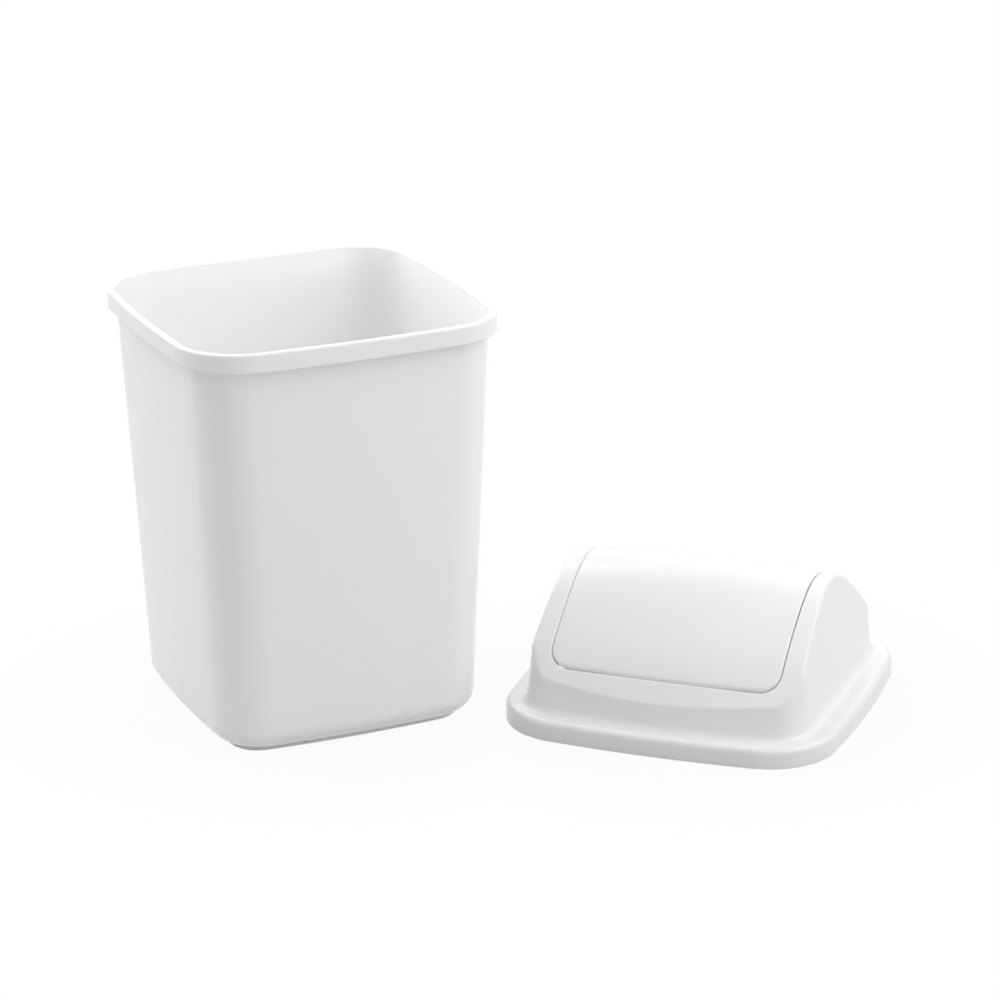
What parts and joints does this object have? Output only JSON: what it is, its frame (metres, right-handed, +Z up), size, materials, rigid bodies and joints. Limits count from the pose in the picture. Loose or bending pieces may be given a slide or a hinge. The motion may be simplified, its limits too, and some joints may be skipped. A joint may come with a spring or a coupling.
{
  "type": "countertop trash can",
  "caption": "Square tapered countertop bin with a stepped rim collar, and its loose hooded lid with a two-way swing flap standing beside it.",
  "frame": {"origin": "centre of the flat foot under the bin", "axes": "+Z up; +X from the bin towards the side on which the lid stands; -Y towards the viewer; the lid is turned 44.1 degrees clockwise, seen from above, against the bin"},
  "size_m": [0.3773, 0.2794, 0.215],
  "materials": {
    "bin_plastic": "gloss white injection-moulded polypropylene",
    "lid_plastic": "gloss white injection-moulded polypropylene",
    "flap_plastic": "gloss white injection-moulded polypropylene"
  },
  "bodies": {
    "bin": {"bin_body": "bin_plastic"},
    "lid": {"lid_cover": "lid_plastic"},
    "flap": {"swing_flap": "flap_plastic"}
  },
  "joints": [
    {"name": "lid_lift", "type": "slide", "parent": "bin", "child": "lid", "axis": [0, 0, 1], "range_m": [0, 0.24]},
    {"name": "flap_swing", "type": "hinge", "parent": "lid", "child": "flap", "pos_m": [0.18101, -0.08919, 0.0602], "axis": [0.7181, -0.6959, 0], "range_deg": [-90, 90]}
  ]
}
